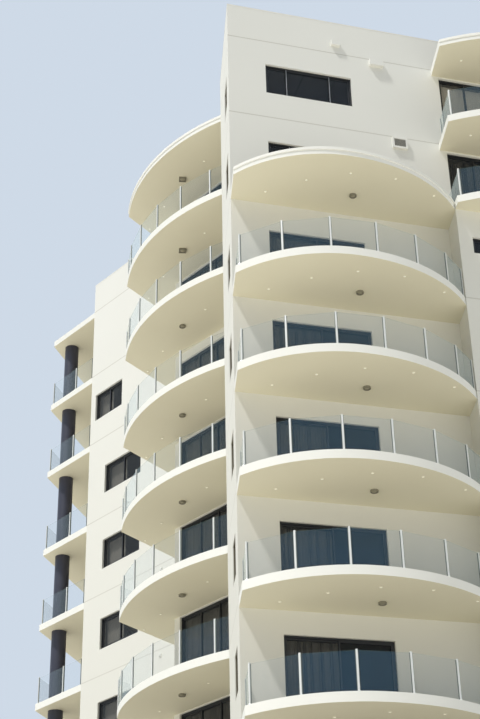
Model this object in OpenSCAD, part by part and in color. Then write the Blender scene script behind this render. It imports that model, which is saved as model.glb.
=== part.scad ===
// Ten-storey apartment block with curved balconies stacked at its corners.
// The plan is symmetric about the Y axis, so the left half is drawn and mirrored.
// X runs along the front, Y runs into the building and Z rises from the ground.

/* [Storeys] */
// Floor to floor height of the ground storey
ground_h = 3900; // [3600:50:4500]
// Floor to floor height of a normal storey
storey_h = 3000; // [2800:50:3400]
// Floor to floor height of the storey below the front canopy
tall_h = 3300; // [3000:50:3900]
// Rise of the walls over the roof slab
parapet_h = 1300; // [900:50:1600]

/* [Plan] */
// Width of each front bay
bay_w = 6700; // [6300:50:7400]
// Width of the centre bay at the front wall
centre_w = 6700; // [6300:50:8000]
// How far the centre bay stands out below the setback
centre_out = 1030; // [800:10:1200]
// Slant of the corner walls and of the centre bay's cheeks
skew_a = 10.5; // [6:0.5:14]
// Length of the corner wall beside each front bay
corner_len = 3750; // [3400:50:4200]
// Angle of the flanks to the Y axis
flank_a = 25.4; // [20:0.2:30]
// Depth of the side terrace behind the corner wall
terrace_back = 2110; // [1800:10:2400]
// Length of the side terrace's door wall
terrace_len = 5130; // [4900:10:5600]
// Length of the side terrace's end wall
terrace_end = 1760; // [1500:10:2100]
// Length of the flank wall
flank_len = 7630; // [7300:10:9000]
// Length of the rear deck's edge in line with the flank
deck_side = 2900; // [2400:50:3400]
// Angle of the rear deck's other edge to the Y axis
chamfer_a = 31; // [26:1:36]
// Depth of the wall beside the rear deck
deck_back = 1000; // [800:50:1400]
// Length of the rear deck's door wall
deck_wall = 5670; // [5000:10:6200]
// Length of the slanted wall between the rear deck and the rear wall
chamfer_wall = 1500; // [900:50:2500]

/* [Walls and floors] */
// Thickness of the outer walls
wall_t = 250; // [200:10:350]
// Thickness of the ground slab
ground_t = 150; // [100:10:250]
// Thickness of floors and balcony slabs
slab_t = 240; // [180:10:300]
// Thickness of the canopies over the top balconies
canopy_t = 240; // [200:10:450]
// Height of the cap along a canopy's upper edge
cap_t = 90; // [50:5:140]
// Distance that the cap stands out over the canopy's edge
cap_out = 25; // [10:5:50]

/* [Front balconies] */
// Radius of the balcony edge towards the building's corner
front_outer_r = 3580; // [3300:20:3900]
// Distance of the balcony edge's inner end behind the centre bay's face
front_end_in = 50; // [20:10:200]
// Distance of the balcony's furthest point from the building's corner
front_peak = 2750; // [2500:50:3000]
// Reach of the front balconies
front_reach = 2680; // [2400:20:2900]
// Radius of the centre bay's balconies
centre_r = 6250; // [5800:50:7500]
// Reach of the centre bay's balconies
centre_reach = 2500; // [2300:50:2700]

/* [Side balconies] */
// Radius of the side balcony's edge
side_r = 7380; // [7000:20:8000]
// Reach of the side balcony in front of its door wall
side_reach = 2410; // [2300:10:2600]
// Distance of the side balcony's furthest point from the corner wall
side_peak = 2320; // [2000:20:2600]
// Length of flank wall that the side balcony's end covers
side_end = 1980; // [1700:10:2300]
// Slant of the side balcony's end edge
side_end_a = 15; // [8:1:20]
// Diameter of the rear deck's column
column_d = 550; // [400:10:600]
// Distance of the column's centre from the deck's edges
column_in = 650; // [550:10:900]

/* [Balustrades] */
// Height of the glass over the slab
rail_h = 950; // [900:10:1200]
// Thickness of the glass panels
rail_t = 15; // [10:1:25]
// Distance of the glass from the slab's edge
rail_in = 40; // [35:5:100]
// Distance of the front and deck rails' end panels from the slab's end edge
rail_end_in = 120; // [60:10:200]
// Distance of the side rail's first post from the corner wall, along the rail
side_rail_start = 500; // [420:10:800]
// Distance of the deck rail's first post from the flank wall
deck_rail_start = 1200; // [900:10:1400]
// Distance between posts
post_gap = 1300; // [1100:10:1500]
// Width of a square post
post_w = 44; // [30:2:60]
// Rise of the posts over the glass
post_over = 25; // [5:5:60]
// Space between a glass panel's end and its post
glass_gap = 5; // [3:1:20]

/* [Doors and windows] */
// Width of the front balcony doors
door_w = 2890; // [2400:10:3200]
// Height of the front balcony doors
door_h = 2150; // [2050:10:2400]
// Distance of the front doors from the building's corner
door_x = 1110; // [900:10:1600]
// Width of the upper front windows and of the rear windows
window_w = 2770; // [2200:10:3000]
// Height of a window
window_h = 1130; // [900:10:1300]
// Height of a window sill over the floor
sill_h = 950; // [850:10:1000]
// Distance of the upper front windows from the building's corner
window_x = 1180; // [900:10:1600]
// Width of the narrow windows in the corner walls
slot_w = 950; // [600:10:1100]
// Distance of the narrow windows from the building's corner
slot_x = 800; // [300:10:1000]
// Width of the high windows in the centre bay
strip_w = 2600; // [2000:20:2800]
// Height of the high windows in the centre bay
strip_h = 550; // [400:10:700]
// Height of the high windows' sill over the floor
strip_sill = 1580; // [1400:10:1700]
// Distance of the high windows from the centre bay's corner
strip_x = 430; // [300:10:600]
// Height of the centre bay's upper doors
tall_door_h = 2700; // [2300:10:2740]
// Distance of the centre bay's upper doors from the front bay
tall_door_x = 230; // [150:10:400]
// Width of the terrace and deck doors
side_door_w = 2770; // [2200:10:2900]
// Height of the terrace and deck doors
side_door_h = 2740; // [2100:10:2750]
// Distance of the terrace doors from the corner wall
side_door_x = 2100; // [1700:10:2100]
// Distance of the deck doors from the flank wall
deck_door_x = 1450; // [1000:50:2200]
// Width of the flank windows
flank_window_w = 2240; // [1800:10:2600]
// Distance of the flank windows from the terrace's end wall
flank_window_x = 4330; // [2400:10:4800]
// Width of the topmost flank window
top_window_w = 1730; // [1400:10:1900]
// Distance of the topmost flank window from the terrace's end wall
top_window_x = 5600; // [4000:10:5650]
// Distance of the first rear window from the rear wall's corner
rear_window_x = 1300; // [900:50:1800]
// Distance between neighbouring rear windows
rear_window_gap = 1200; // [900:50:1500]
// Height of the ground storey's front windows
shop_h = 2300; // [1800:50:2500]
// Height of their sill over the ground slab
shop_sill = 450; // [300:50:600]
// Width of the entrance
entry_w = 2800; // [2000:50:3200]
// Height of the entrance
entry_h = 2600; // [2200:50:2900]
// Thickness of the glass in doors and windows
pane_t = 24; // [10:1:40]
// Depth of the reveal in front of that glass
pane_in = 110; // [60:10:150]

/* [Fittings] */
// Diameter of a round ceiling lamp
lamp_d = 210; // [150:10:300]
// Width of the square ceiling lamps on the top two side balconies
square_lamp_w = 210; // [150:10:350]
// Drop of a ceiling lamp below the slab
lamp_t = 60; // [30:5:100]
// Diameter of a small downlight's rim
spot_d = 100; // [60:5:140]
// Drop of a downlight's rim below the slab
spot_t = 12; // [6:1:30]
// Width of the rim round the vent box's grille
vent_rim = 60; // [30:5:100]
// Width of the small square vents in the flank walls
vent_w = 110; // [80:5:160]
// Distance that these vents stand out
vent_out = 30; // [15:5:60]

/* [Hidden] */
$fn = 96;
// Sides of the large circles that trim the balconies
edge_fn = 360;
// Storeys 1 to 7 have front balconies, and storeys 8 and 9 stand behind the canopy
last_balcony = 7;
roof_floor = 10;
// Overshoot of a cut, and the reach of outlines that a circle trims
cut = 50;
far = 9000;
// Distance of a glass panel's end from its post's centre
glass_end = post_w / 2 + glass_gap;
// The shortest panel that a run of glass may end with
panel_min = 400;
// Standoff of a run's first and last point from a wall
wall_gap = 60;

function floor_z(i) = i == 0 ? 0
    : ground_h + (i - 1) * storey_h + (i > last_balcony ? tall_h - storey_h : 0);
top_z = floor_z(roof_floor) + parapet_h;

// Directions in plan: the corner wall, the flank, across the flank, the chamfer and across it
skew = [sin(skew_a), cos(skew_a)];
flank = [-sin(flank_a), cos(flank_a)];
across = [cos(flank_a), sin(flank_a)];
chamfer = [sin(chamfer_a), cos(chamfer_a)];
chamfer_in = [cos(chamfer_a), -sin(chamfer_a)];
skew_in = [cos(skew_a), -sin(skew_a)];
right = [1, 0];

function cross2(u, v) = u.x * v.y - u.y * v.x;
// The point where the line through p along u meets the line through q along v
function meet(p, u, q, v) = p + u * cross2(q - p, v) / cross2(u, v);
// The point where the line through p along u meets a circle, on the side that u points to
function reach_circle(p, u, c, r) =
    let (w = p - c, b = w * u) p + u * (sqrt(b * b - w * w + r * r) - b);
function mirrored(p) = [-p.x, p.y];
function unit(v) = v / norm(v);
function turned(v) = [v.y, -v.x];
// Points a, b, c of an outline, clockwise: the corner at b moved inwards by t
function inner_corner(a, b, c, t) =
    let (u = unit(b - a), v = unit(c - b)) meet(b + turned(u) * t, u, b + turned(v) * t, v);

// Corners of the left half, clockwise from the front bay's inner end
bay_end = [-centre_w / 2, 0];
corner = bay_end - [bay_w, 0];
corner_rear = corner + skew * corner_len;
terrace_a = corner_rear + across * terrace_back;
terrace_b = terrace_a + flank * terrace_len;
flank_start = terrace_b + across * terrace_end;
flank_stop = flank_start + flank * flank_len;
deck_tip = flank_stop + flank * deck_side;
deck_a = flank_stop + across * deck_back;
deck_b = deck_a + chamfer * deck_wall;
deck_c = meet(deck_b, chamfer_in, deck_tip, chamfer);
rear_corner = deck_c + chamfer * chamfer_wall;
rear_mid = [0, rear_corner.y];
outline = [bay_end, corner, corner_rear, terrace_a, terrace_b, flank_start, flank_stop,
    deck_a, deck_b, deck_c, rear_corner, rear_mid];
corners = len(outline) - 1;
function inner(i, t = wall_t) = inner_corner(outline[i - 1], outline[i], outline[i + 1], t);
inside = [for (i = [1:corners - 1]) inner(i)];

// The centre bay's cheek: its outer line runs on through the front wall
cheek_out = meet(bay_end, skew, [0, -centre_out], right);
cheek_in = meet(bay_end + skew_in * wall_t, skew, [0, wall_t - centre_out], right);
bay_end_in = meet(bay_end, skew, [0, wall_t], right);
cheek_end_in = meet(bay_end + skew_in * wall_t, skew, [0, wall_t], right);

// The model's own frame has its origin at the middle of the footprint
mid_y = (rear_corner.y - max(front_reach, centre_reach) - cap_out) / 2;

module placed() {
    translate([0, -mid_y, 0]) children();
}

module both() {
    children();
    mirror([1, 0, 0]) children();
}

// Local X runs from a to b, and local Y points out of the wall
module on_edge(a, b) {
    translate([a.x, a.y, 0]) rotate(atan2(b.y - a.y, b.x - a.x)) children();
}

// A wall between outline corners a and b, with openings listed as [x, z, width, height]
module wall(a, b, a_in, b_in, z0, z1, holes = []) {
    difference() {
        translate([0, 0, z0]) linear_extrude(z1 - z0) polygon([a, b, b_in, a_in]);
        on_edge(a, b)
            for (h = holes) translate([h[0], -wall_t - cut, h[1]]) cube([h[2], wall_t + 2 * cut, h[3]]);
    }
}

module run(i, holes = []) {
    wall(outline[i], outline[i + 1], inner(i), inner(i + 1), 0, top_z, holes);
}

module panes(a, b, holes) {
    on_edge(a, b)
        for (h = holes) translate([h[0], -pane_in - pane_t, h[1]]) cube([h[2], pane_t, h[3]]);
}

// Openings of each wall, storey by storey
function base_z(i) = i == 0 ? ground_t : floor_z(i);
front_holes = concat(
    [[bay_w - door_x - door_w, ground_t + shop_sill, door_w, shop_h]],
    [for (i = [1:last_balcony]) [bay_w - door_x - door_w, floor_z(i), door_w, door_h]],
    [for (i = [last_balcony + 1:roof_floor - 1])
        [bay_w - window_x - window_w, floor_z(i) + sill_h, window_w, window_h]]);
corner_holes = [for (i = [0:roof_floor - 1]) [slot_x, base_z(i) + sill_h, slot_w, window_h]];
terrace_holes = [for (i = [0:roof_floor - 1]) [side_door_x, base_z(i), side_door_w, side_door_h]];
flank_holes = concat(
    [for (i = [0:last_balcony]) [flank_window_x, base_z(i) + sill_h, flank_window_w, window_h]],
    [[top_window_x, floor_z(last_balcony + 1) + sill_h, top_window_w, window_h]]);
deck_holes = [for (i = [0:roof_floor - 1]) [deck_door_x, base_z(i), side_door_w, side_door_h]];
rear_holes = [for (i = [0:roof_floor - 1], k = [0, 1])
    [rear_window_x + k * (window_w + rear_window_gap), base_z(i) + sill_h, window_w, window_h]];
centre_upper_holes = [for (i = [last_balcony + 1:roof_floor - 1])
    [tall_door_x, floor_z(i), centre_w / 2 - 2 * tall_door_x, tall_door_h]];
strip_holes = [for (i = [1:last_balcony]) [strip_x, floor_z(i) + strip_sill, strip_w, strip_h]];
entry_hole = [[-cheek_out.x - entry_w / 2, ground_t, entry_w, entry_h]];

module front_wall() {
    wall(bay_end, corner, bay_end_in, inner(1), 0, top_z, front_holes);
}

// Openings counted from the outer end a of a half wall, as openings counted from the middle
function from_middle(a, holes) = [for (h = holes) [-a.x - h[0] - h[2], h[1], h[2], h[3]]];

module centre_half(z0, z1, a, a_in, holes) {
    wall([0, a.y], a, [0, a_in.y], a_in, z0, z1, from_middle(a, holes));
}

// The centre bay steps back at the underside of the first floor above the canopies
setback_z = floor_z(last_balcony + 1) - slab_t;

module centre_lower() {
    difference() {
        both() centre_half(0, setback_z, cheek_out, cheek_in, strip_holes);
        on_edge(cheek_out, mirrored(cheek_out))
            for (h = entry_hole) translate([h[0], -cut, h[1]]) cube([h[2], wall_t + 2 * cut, h[3]]);
    }
}

module centre_upper() {
    both() centre_half(setback_z, top_z, bay_end, bay_end_in, centre_upper_holes);
}

module centre_cheek() {
    wall(bay_end_in, cheek_out, cheek_end_in, cheek_in, 0, setback_z);
}

// Floors fit between the inner faces of the walls
upper_plan = concat(inside, [for (i = [len(inside) - 1:-1:0]) mirrored(inside[i])]);
lower_half = concat([cheek_in, cheek_end_in], inside);
lower_plan = concat(lower_half, [for (i = [len(lower_half) - 1:-1:0]) mirrored(lower_half[i])]);

module slab(z, t) {
    translate([0, 0, z - t]) linear_extrude(t) children();
}

// Outlines of the balconies
front_outer_c = [corner.x + front_peak, front_outer_r - front_reach];
// The inner arc runs on from the furthest point and ends beside the centre bay's face
front_end_y = front_end_in - centre_out;
front_end_x = meet(bay_end, skew, [0, front_end_y], right).x - front_outer_c.x;
front_end_rise = front_reach + front_end_y;
front_inner_r = (front_end_x * front_end_x + front_end_rise * front_end_rise) / (2 * front_end_rise);
front_inner_c = [front_outer_c.x, front_inner_r - front_reach];
centre_c = [0, centre_r - centre_reach];
side_c = corner_rear + across * (terrace_back - side_reach + side_r) + flank * side_peak;
side_stop = flank_start + flank * side_end;
side_edge = -across * cos(side_end_a) - flank * sin(side_end_a);

module front_outline(out = 0) {
    intersection() {
        polygon([corner, bay_end, bay_end - skew * far, corner - skew * far]);
        union() {
            intersection() {
                translate(front_outer_c) circle(front_outer_r + out, $fn = edge_fn);
                translate([front_outer_c.x - far, -far]) square([far, 2 * far]);
            }
            intersection() {
                translate(front_inner_c) circle(front_inner_r + out, $fn = edge_fn);
                translate([front_inner_c.x, -far]) square([far, 2 * far]);
            }
        }
    }
}

module centre_outline(out = 0) {
    intersection() {
        polygon([bay_end, bay_end - skew * far, mirrored(bay_end - skew * far), mirrored(bay_end)]);
        translate(centre_c) circle(centre_r + out, $fn = edge_fn);
    }
}

module side_outline(out = 0) {
    end = side_stop + flank * out;
    intersection() {
        polygon([corner_rear - across * far, corner_rear, terrace_a, terrace_b, flank_start,
            end, end + side_edge * far]);
        translate(side_c) circle(side_r + out, $fn = edge_fn);
    }
}

module deck_outline() {
    polygon([flank_stop, deck_tip, deck_c, deck_b, deck_a]);
}

module front_slabs() {
    canopy_z = floor_z(last_balcony + 1);
    for (i = [1:last_balcony]) slab(floor_z(i), slab_t) front_outline();
    slab(canopy_z - cap_t, canopy_t - cap_t) front_outline();
    slab(canopy_z, cap_t) front_outline(cap_out);
}

module side_slabs() {
    for (i = [1:roof_floor - 1]) slab(floor_z(i), slab_t) side_outline();
    slab(floor_z(roof_floor) - cap_t, canopy_t - cap_t) side_outline();
    slab(floor_z(roof_floor), cap_t) side_outline(cap_out);
}

module deck_slabs() {
    for (i = [1:roof_floor]) slab(floor_z(i), slab_t) deck_outline();
}

// Runs of balustrade are lists of points, one for each post
function between(a, b) =
    let (n = max(1, round(norm(b - a) / post_gap))) [for (k = [0:n]) a + (b - a) * k / n];
function on_arc(c, r, a) = c + r * [cos(a), sin(a)];
function bearing(c, p) = atan2(p.y - c.y, p.x - c.x);
function arc_points(c, r, a0, a1) =
    let (n = max(1, round(abs(a1 - a0) * PI / 180 * r / post_gap)))
    [for (k = [0:n]) on_arc(c, r, a0 + (a1 - a0) * k / n)];
function tail(list) = [for (k = [1:len(list) - 1]) list[k]];

// The front run starts at the corner and ends at the centre bay's cheek
front_rail_r = front_outer_r - rail_in;
front_line = corner + skew_in * rail_end_in;
front_end = reach_circle(front_line, -skew, front_outer_c, front_rail_r);
front_stop = reach_circle(bay_end - skew_in * wall_gap, -skew, front_inner_c, front_inner_r - rail_in);
function front_point(t) = t < 0
    ? on_arc(front_outer_c, front_rail_r, -90 + t / front_rail_r * 180 / PI)
    : on_arc(front_inner_c, front_inner_r - rail_in, -90 + t / (front_inner_r - rail_in) * 180 / PI);
front_t0 = -asin((front_outer_c.x - front_end.x) / front_rail_r) * PI / 180 * front_rail_r;
front_t1 = asin((front_stop.x - front_inner_c.x) / (front_inner_r - rail_in))
    * PI / 180 * (front_inner_r - rail_in);
front_run = concat(
    [meet(front_line, skew, [0, -wall_gap], right)],
    [for (t = [front_t0:post_gap:front_t1 - panel_min]) front_point(t)],
    [front_stop]);

centre_rail_r = centre_r - rail_in;
centre_line = bay_end + skew_in * rail_end_in;
centre_end = reach_circle(centre_line, -skew, centre_c, centre_rail_r);
centre_run = concat(
    [meet(centre_line, skew, [0, -wall_gap], right)],
    arc_points(centre_c, centre_rail_r, bearing(centre_c, centre_end),
        bearing(centre_c, mirrored(centre_end))),
    [mirrored(meet(centre_line, skew, [0, -wall_gap], right))]);

side_rail_r = side_r - rail_in;
side_first = reach_circle(terrace_a + flank * wall_gap, -across, side_c, side_rail_r);
side_line = side_stop - [-side_edge.y, side_edge.x] * rail_in;
side_tip = reach_circle(side_line, side_edge, side_c, side_rail_r);
side_last = meet(side_line, side_edge, flank_start - across * wall_gap, flank);
function positive(a) = a < 0 ? a + 360 : a;
side_a0 = positive(bearing(side_c, side_first));
side_arc = (side_a0 - positive(bearing(side_c, side_tip))) * PI / 180 * side_rail_r;
side_run = concat(
    [side_first],
    [for (t = [side_rail_start:post_gap:side_arc - panel_min])
        on_arc(side_c, side_rail_r, side_a0 - t / side_rail_r * 180 / PI)],
    between(side_tip, side_last));

deck_line = flank_stop + across * rail_in;
deck_corner = meet(deck_line, flank, deck_tip + chamfer_in * rail_end_in, chamfer);
deck_first = deck_line + flank * wall_gap;
deck_last = deck_c + chamfer_in * rail_end_in - chamfer * wall_gap;
deck_run = concat([deck_first, deck_line + flank * deck_rail_start], between(deck_corner, deck_last));
column_at = inner_corner(flank_stop, deck_tip, deck_c, column_in);

module glass_run(points) {
    for (k = [0:len(points) - 2]) on_edge(points[k], points[k + 1])
        translate([glass_end, -rail_t / 2, 0])
            cube([norm(points[k + 1] - points[k]) - 2 * glass_end, rail_t, rail_h]);
}

module post_run(points) {
    last = len(points) - 1;
    for (k = [0:last]) {
        way = points[min(k + 1, last)] - points[max(k - 1, 0)];
        translate([points[k].x, points[k].y, 0]) rotate(atan2(way.y, way.x))
            translate([-post_w / 2, -post_w / 2, 0]) cube([post_w, post_w, rail_h + post_over]);
    }
}

module on_floors(first, last) {
    for (i = [first:last]) translate([0, 0, floor_z(i)]) children();
}

module columns() {
    translate([column_at.x, column_at.y, 0]) {
        cylinder(h = floor_z(1) - slab_t, d = column_d);
        for (i = [1:roof_floor - 1]) translate([0, 0, floor_z(i)])
            cylinder(h = floor_z(i + 1) - slab_t - floor_z(i), d = column_d);
    }
}

// Ceiling lamps and downlights hang below the balcony slabs, placed from each balcony's own corner
front_lamp = corner + [3360, -980];
front_spots = [for (p = [[870, -560], [1850, -1350], [2980, -1940], [4300, -1990], [5650, -1490]])
    corner + p];
centre_lamp = bay_end + [2200, -1000];
centre_spots = [bay_end + [660, -900]];
side_lamp = terrace_b - across * 1120 - flank * 1820;
side_spots = [terrace_a - across * 1160 + flank * 2070, terrace_b - across * 630 - flank * 120,
    terrace_b - across * 210 + flank * 1300];

module lamp(p, z) {
    translate([p.x, p.y, z - lamp_t]) cylinder(h = lamp_t, d = lamp_d, $fn = 48);
}

module square_lamp(p, z) {
    translate([p.x, p.y, z - lamp_t]) rotate(-skew_a)
        translate([-square_lamp_w / 2, -square_lamp_w / 2, 0])
            cube([square_lamp_w, square_lamp_w, lamp_t]);
}

module spots(list, z) {
    for (p = list) translate([p.x, p.y, z - spot_t]) cylinder(h = spot_t, d = spot_d, $fn = 32);
}

module lamps() {
    for (i = [2:last_balcony + 1]) {
        z = floor_z(i) - (i > last_balcony ? canopy_t : slab_t);
        lamp(front_lamp, z);
        spots(front_spots, z);
    }
    for (i = [roof_floor - 1, roof_floor]) {
        z = floor_z(i) - (i == roof_floor ? canopy_t : slab_t);
        lamp(centre_lamp, z);
        spots(centre_spots, z);
    }
    for (i = [2:roof_floor]) {
        z = floor_z(i) - (i == roof_floor ? canopy_t : slab_t);
        if (i < roof_floor - 1) lamp(side_lamp, z);
        else square_lamp(side_lamp, z);
        spots(side_spots, z);
    }
}

// Boxes on the upper front wall: a small lamp over the roof's line, a long one and the vent box under it
small_lamp = [290, 100, 180];
small_lamp_x = 3350;
small_lamp_up = 290;
long_lamp = [450, 120, 220];
long_lamp_x = 4590;
long_lamp_drop = 280;
vent_box = [490, 80, 400];
vent_box_x = 5130;
vent_box_drop = 450;
// The vent box has a recess for its grille
vent_recess = 30;

// Puts a box on the front wall, at x from the building's corner
module front_box(x, z, size) {
    translate([corner.x + x, -size.y, z]) children();
}

module boxes() {
    front_box(small_lamp_x, floor_z(roof_floor) + small_lamp_up, small_lamp) cube(small_lamp);
    front_box(long_lamp_x, floor_z(roof_floor) - long_lamp_drop, long_lamp) cube(long_lamp);
    front_box(vent_box_x, floor_z(roof_floor - 1) - vent_box_drop, vent_box) difference() {
        cube(vent_box);
        translate([vent_rim, -cut, vent_rim])
            cube([vent_box.x - 2 * vent_rim, vent_recess + cut, vent_box.z - 2 * vent_rim]);
    }
}

// A small vent sits under each floor line of the flank, beside its windows
vent_x = 3030;
vent_drop = 210;

module vents() {
    on_edge(flank_start, flank_stop) for (i = [1:last_balcony + 1])
        translate([vent_x - vent_w / 2, 0, floor_z(i) - vent_drop - vent_w / 2])
            cube([vent_w, vent_out, vent_w]);
}

plaster = [0.9, 0.88, 0.82];
fascia = [0.93, 0.91, 0.85];
clear = [0.62, 0.78, 0.76, 0.5];
tinted = [0.1, 0.12, 0.14];
steel = [0.75, 0.77, 0.78];
charcoal = [0.12, 0.13, 0.2];

module front_wall_left() { color(plaster) placed() front_wall(); }
module front_wall_right() { color(plaster) placed() mirror([1, 0, 0]) front_wall(); }
module centre_wall_lower() { color(plaster) placed() centre_lower(); }
module centre_wall_upper() { color(plaster) placed() centre_upper(); }
module centre_cheeks() { color(plaster) placed() both() centre_cheek(); }
module corner_wall_left() { color(plaster) placed() run(1, corner_holes); }
module corner_wall_right() { color(plaster) placed() mirror([1, 0, 0]) run(1, corner_holes); }
module terrace_cheeks() { color(plaster) placed() both() run(2); }
module terrace_door_walls() { color(plaster) placed() both() run(3, terrace_holes); }
module terrace_end_walls() { color(plaster) placed() both() run(4); }
module flank_wall_left() { color(plaster) placed() run(5, flank_holes); }
module flank_wall_right() { color(plaster) placed() mirror([1, 0, 0]) run(5, flank_holes); }
module deck_side_walls() { color(plaster) placed() both() run(6); }
module deck_door_walls() { color(plaster) placed() both() run(7, deck_holes); }
module deck_end_walls() { color(plaster) placed() both() run(8); }
module chamfer_walls() { color(plaster) placed() both() run(9); }

module rear_wall() {
    rear_in = [0, rear_corner.y - wall_t];
    color(plaster) placed() both()
        wall(rear_corner, rear_mid, inner(10), rear_in, 0, top_z, rear_holes);
}

module ground_slab() { color(plaster) placed() slab(ground_t, ground_t) polygon(lower_plan); }

module floor_slabs() {
    color(plaster) placed() {
        for (i = [1:last_balcony]) slab(floor_z(i), slab_t) polygon(lower_plan);
        for (i = [last_balcony + 1:roof_floor - 1]) slab(floor_z(i), slab_t) polygon(upper_plan);
    }
}

module roof_slab() { color(plaster) placed() slab(floor_z(roof_floor), slab_t) polygon(upper_plan); }
module front_slabs_left() { color(fascia) placed() front_slabs(); }
module front_slabs_right() { color(fascia) placed() mirror([1, 0, 0]) front_slabs(); }

module centre_slabs() {
    color(fascia) placed() {
        for (i = [last_balcony + 1:roof_floor - 1]) slab(floor_z(i), slab_t) centre_outline();
        slab(floor_z(roof_floor) - cap_t, canopy_t - cap_t) centre_outline();
        slab(floor_z(roof_floor), cap_t) centre_outline(cap_out);
    }
}

module side_slabs_left() { color(fascia) placed() side_slabs(); }
module side_slabs_right() { color(fascia) placed() mirror([1, 0, 0]) side_slabs(); }
module deck_slabs_left() { color(fascia) placed() deck_slabs(); }
module deck_slabs_right() { color(fascia) placed() mirror([1, 0, 0]) deck_slabs(); }

module front_glass_left() { color(clear) placed() on_floors(1, last_balcony) glass_run(front_run); }

module front_glass_right() {
    color(clear) placed() mirror([1, 0, 0]) on_floors(1, last_balcony) glass_run(front_run);
}

module centre_glass() {
    color(clear) placed() on_floors(last_balcony + 1, roof_floor - 1) glass_run(centre_run);
}

module side_glass_left() { color(clear) placed() on_floors(1, roof_floor - 1) glass_run(side_run); }

module side_glass_right() {
    color(clear) placed() mirror([1, 0, 0]) on_floors(1, roof_floor - 1) glass_run(side_run);
}

module deck_glass() { color(clear) placed() both() on_floors(1, roof_floor - 1) glass_run(deck_run); }

module front_posts() {
    color(steel) placed() {
        both() on_floors(1, last_balcony) post_run(front_run);
        on_floors(last_balcony + 1, roof_floor - 1) post_run(centre_run);
    }
}

module side_posts() {
    color(steel) placed() both() on_floors(1, roof_floor - 1) post_run(tail(side_run));
}

module deck_posts() {
    color(steel) placed() both() on_floors(1, roof_floor - 1) post_run(tail(deck_run));
}

module deck_columns() { color(charcoal) placed() both() columns(); }
module front_panes() { color(tinted) placed() both() panes(bay_end, corner, front_holes); }

module centre_panes() {
    color(tinted) placed() {
        both() {
            panes([0, 0], bay_end, from_middle(bay_end, centre_upper_holes));
            panes([0, cheek_out.y], cheek_out, from_middle(cheek_out, strip_holes));
        }
        panes(mirrored(cheek_out), cheek_out, entry_hole);
    }
}

module side_panes() {
    color(tinted) placed() both() {
        panes(corner, corner_rear, corner_holes);
        panes(terrace_a, terrace_b, terrace_holes);
    }
}

module flank_panes() { color(tinted) placed() both() panes(flank_start, flank_stop, flank_holes); }
module deck_panes() { color(tinted) placed() both() panes(deck_a, deck_b, deck_holes); }
module rear_panes() { color(tinted) placed() both() panes(rear_corner, rear_mid, rear_holes); }
module ceiling_lamps() { color(steel) placed() both() lamps(); }

module wall_boxes() {
    color(fascia) placed() both() {
        boxes();
        vents();
    }
}

front_wall_left();
front_wall_right();
centre_wall_lower();
centre_wall_upper();
centre_cheeks();
corner_wall_left();
corner_wall_right();
terrace_cheeks();
terrace_door_walls();
terrace_end_walls();
flank_wall_left();
flank_wall_right();
deck_side_walls();
deck_door_walls();
deck_end_walls();
chamfer_walls();
rear_wall();
ground_slab();
floor_slabs();
roof_slab();
front_slabs_left();
front_slabs_right();
centre_slabs();
side_slabs_left();
side_slabs_right();
deck_slabs_left();
deck_slabs_right();
front_glass_left();
front_glass_right();
centre_glass();
side_glass_left();
side_glass_right();
deck_glass();
front_posts();
side_posts();
deck_posts();
deck_columns();
front_panes();
centre_panes();
side_panes();
flank_panes();
deck_panes();
rear_panes();
ceiling_lamps();
wall_boxes();
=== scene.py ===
# %% [markdown]
# # Dressing a ten-storey apartment block
# The solids of this building come from a CAD model, where each wall, floor, balcony, pane and
# post has its real size and place. Blender adds what a drawing leaves out: the finish of each
# surface, the frames of the windows, the lamps, the blinds and the metal trim. One fixed frame
# ties the two together, so a new piece goes exactly where the CAD solids say.

# %% Load the frame
import math
import random
from contextlib import contextmanager

import bmesh
import bpy
import numpy as np
from mathutils import Matrix, Vector


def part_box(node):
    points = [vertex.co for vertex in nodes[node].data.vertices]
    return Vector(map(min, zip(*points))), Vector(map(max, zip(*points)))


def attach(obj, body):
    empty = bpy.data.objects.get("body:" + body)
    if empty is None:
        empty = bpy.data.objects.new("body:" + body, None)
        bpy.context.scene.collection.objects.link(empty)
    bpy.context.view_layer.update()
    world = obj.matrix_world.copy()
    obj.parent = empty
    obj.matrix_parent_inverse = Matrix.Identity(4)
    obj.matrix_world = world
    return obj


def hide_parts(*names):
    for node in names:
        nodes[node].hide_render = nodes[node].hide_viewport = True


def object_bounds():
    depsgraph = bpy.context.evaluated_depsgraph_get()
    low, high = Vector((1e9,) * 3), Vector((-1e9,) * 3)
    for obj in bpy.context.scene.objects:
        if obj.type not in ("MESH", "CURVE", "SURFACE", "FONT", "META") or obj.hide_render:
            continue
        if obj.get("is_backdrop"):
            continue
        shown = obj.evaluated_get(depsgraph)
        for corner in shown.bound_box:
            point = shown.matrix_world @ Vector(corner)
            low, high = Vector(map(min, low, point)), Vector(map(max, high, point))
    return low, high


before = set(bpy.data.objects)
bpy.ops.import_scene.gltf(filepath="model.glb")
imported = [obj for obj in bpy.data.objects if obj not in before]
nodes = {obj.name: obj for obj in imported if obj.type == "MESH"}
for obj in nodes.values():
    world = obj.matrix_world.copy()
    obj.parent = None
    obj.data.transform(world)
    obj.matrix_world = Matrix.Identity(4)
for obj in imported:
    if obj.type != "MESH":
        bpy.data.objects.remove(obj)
cad_low, cad_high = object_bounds()
print("building", [round(v, 2) for v in cad_high - cad_low], "metres")

# %% [markdown]
# ## The camera
# The photograph was taken from the street, off the front left corner and looking steeply up.
# A camera is three directions and a place. Building them from a compass bearing, a pitch and a
# roll keeps each number readable, and the matrix then has them as its columns. The small
# sideways shift stands for the part of the picture that was cropped away.

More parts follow.
